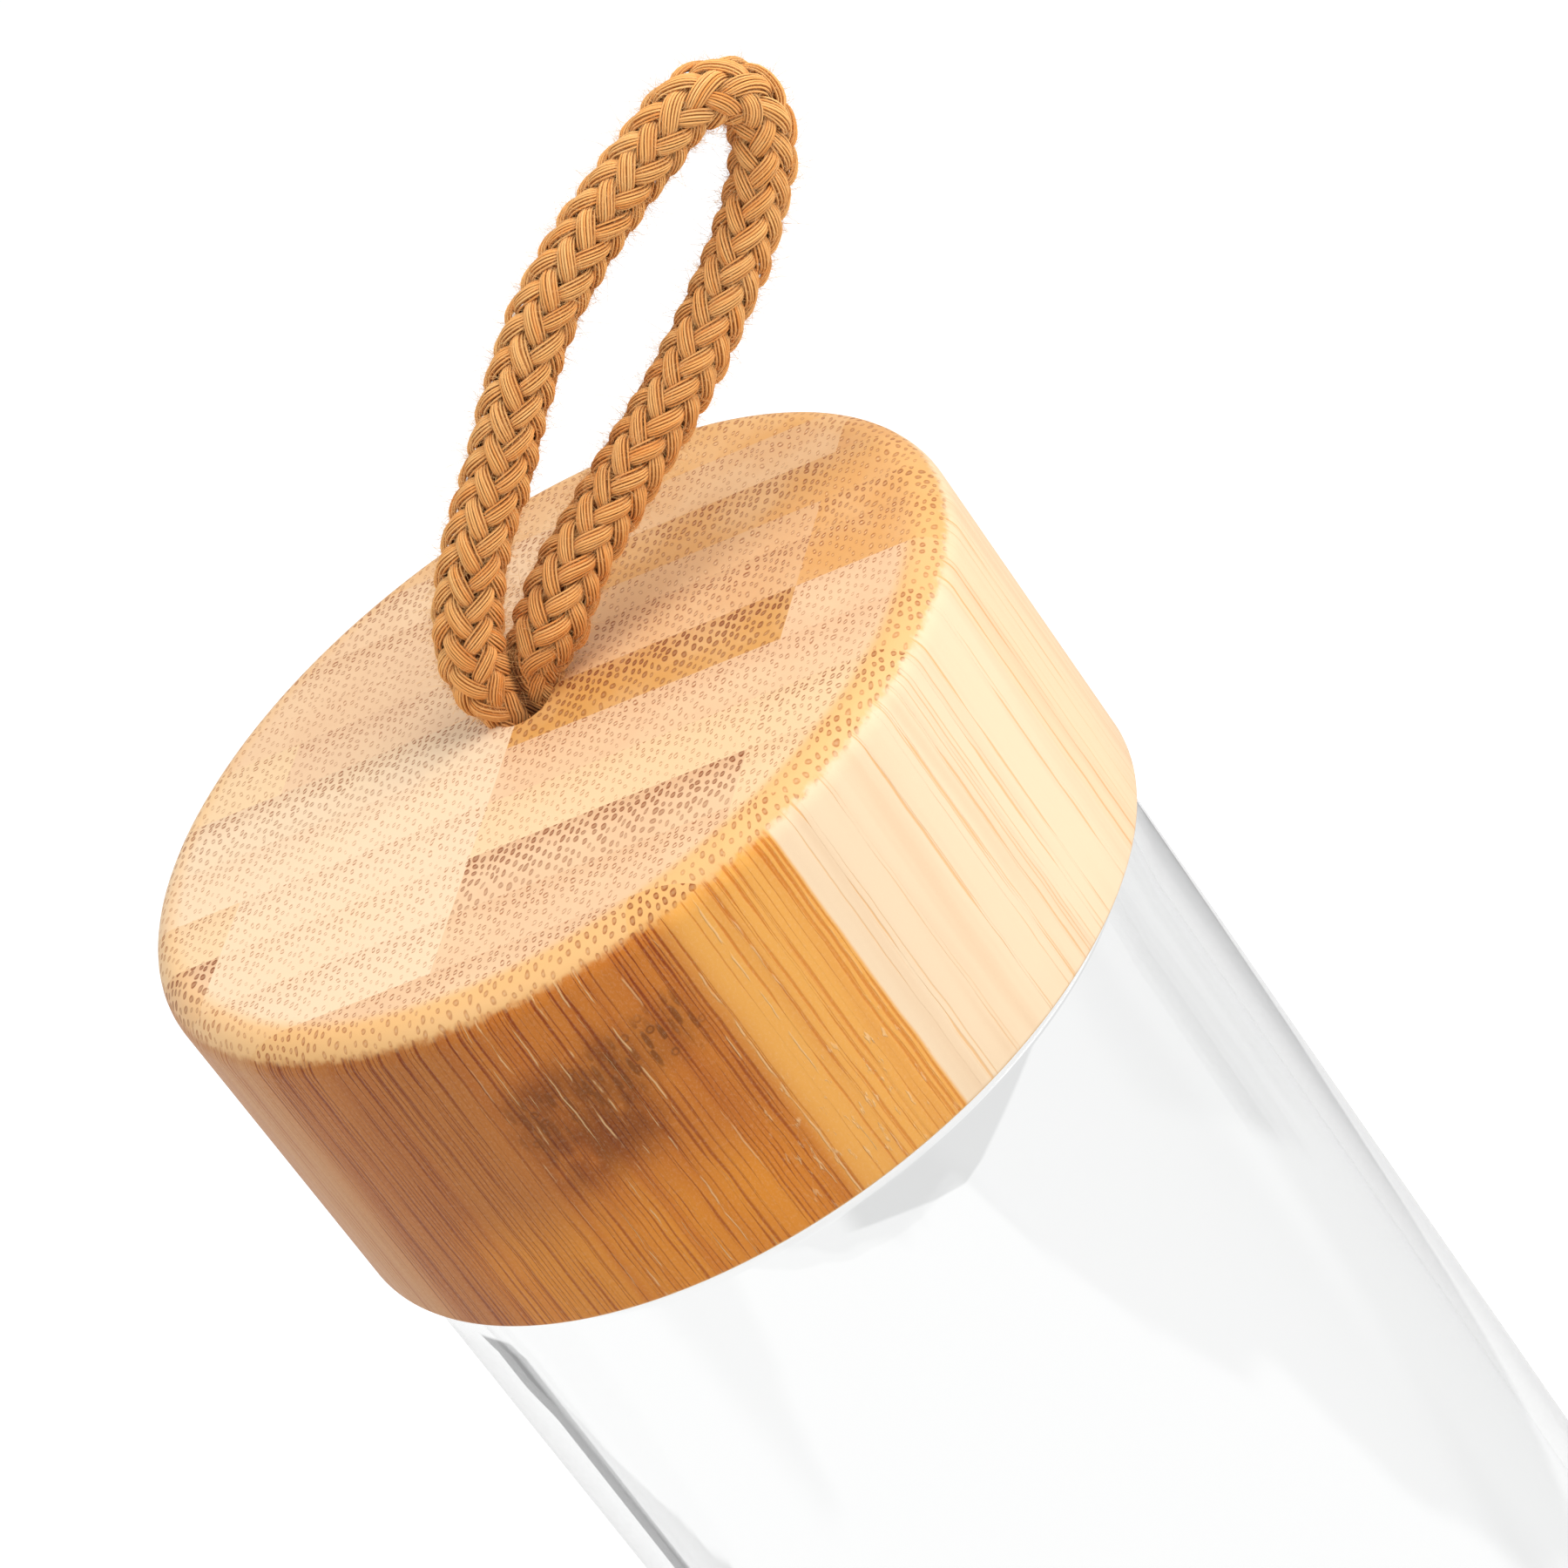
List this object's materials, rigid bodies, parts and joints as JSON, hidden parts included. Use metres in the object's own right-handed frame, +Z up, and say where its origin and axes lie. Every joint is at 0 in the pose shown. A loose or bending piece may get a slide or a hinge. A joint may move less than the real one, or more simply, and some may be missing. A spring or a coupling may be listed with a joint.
{
  "type": "glass water bottle",
  "caption": "Cylindrical single-wall glass bottle with a screwed bamboo lid, a threaded plastic insert, a silicone seal and a braided cord carry loop.",
  "frame": {"origin": "centre of the base, on the plane that the base ring stands on", "axes": "+Z up the bottle's axis to the lid; +X the way the carry loop leans; +Y the side of the lid on which the cord hole lies"},
  "size_m": [0.0748, 0.0686, 0.2439],
  "materials": {
    "clear_glass": "polished clear glass",
    "bamboo": "laminated bamboo, turned, sanded and oiled",
    "white_plastic": "moulded polypropylene",
    "silicone": "translucent silicone",
    "cotton_cord": "round braided cotton cord, slightly fuzzy"
  },
  "bodies": {
    "bottle": {"glass_bottle": "clear_glass"},
    "seal": {"seal_ring": "silicone"},
    "lid": {"threaded_insert": "white_plastic", "bamboo_lid": "bamboo", "cord_knot": "cotton_cord", "carry_cord_loop": "cotton_cord"}
  },
  "joints": [
    {"name": "lid_lift", "type": "slide", "parent": "bottle", "child": "seal", "axis": [0, 0, 1], "range_m": [0, 0.01301]},
    {"name": "lid_turn", "type": "hinge", "parent": "seal", "child": "lid", "pos_m": [0, 0, 0.1825], "axis": [0, 0, 1], "range_deg": [0, 1170]}
  ],
  "couplings": [
    {"joint": "lid_lift", "follows": "lid_turn", "m_per_rad": 0.00063662}
  ]
}
